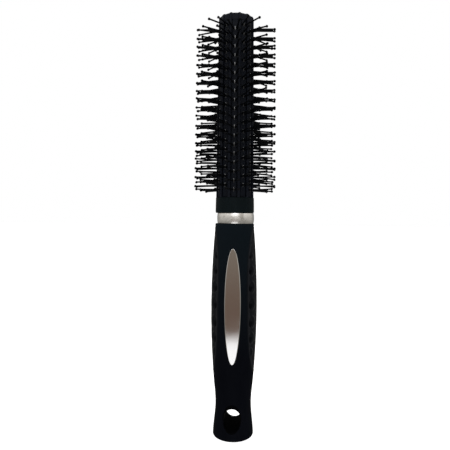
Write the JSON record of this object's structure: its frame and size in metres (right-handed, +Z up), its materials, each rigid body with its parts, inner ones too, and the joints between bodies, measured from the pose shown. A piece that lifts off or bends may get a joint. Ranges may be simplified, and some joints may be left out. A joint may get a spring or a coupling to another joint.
{
  "type": "round hair brush",
  "caption": "Manual round blow-dry brush with splayed ball-ended nylon pins round a ribbed barrel, a bright ring and a soft-touch handle with a hanging hole",
  "frame": {"origin": "centre of the flat butt end of the handle, where the brush stands", "axes": "+Z up along the brush's axis from butt to barrel tip, -Y out of the front with the silver plate, +X to the right seen from the front"},
  "size_m": [0.0468, 0.0468, 0.24],
  "materials": {
    "handle_body": "soft-touch black, very matte",
    "handle_core": "as-moulded black",
    "grip_pad": "dimpled black rubber",
    "inlay_plate": "fine satin silver",
    "inlay_tape": "adhesive film",
    "ferrule_ring": "polished silver",
    "barrel_collar": "soft matte black",
    "barrel": "satin black, moulded ribs",
    "pin_strip": "glossy black nylon",
    "pins": "glossy black nylon with ball ends"
  },
  "bodies": {
    "root": {"handle_body": "handle_body", "handle_core": "handle_core", "inlay_plate": "inlay_plate", "inlay_tape": "inlay_tape", "ferrule_ring": "ferrule_ring", "barrel_collar": "barrel_collar", "barrel": "barrel", "grip_pad_left": "grip_pad", "grip_pad_right": "grip_pad", "pin_strip_01": "pin_strip", "pin_strip_02": "pin_strip", "pin_strip_03": "pin_strip", "pin_strip_04": "pin_strip", "pin_strip_05": "pin_strip", "pin_strip_06": "pin_strip", "pin_strip_07": "pin_strip", "pin_strip_08": "pin_strip", "pin_strip_09": "pin_strip", "pin_strip_10": "pin_strip", "pin_strip_11": "pin_strip", "pin_strip_12": "pin_strip", "pins_01": "pins", "pins_02": "pins", "pins_03": "pins", "pins_04": "pins", "pins_05": "pins", "pins_06": "pins", "pins_07": "pins", "pins_08": "pins", "pins_09": "pins", "pins_10": "pins", "pins_11": "pins", "pins_12": "pins"}
  },
  "joints": []
}
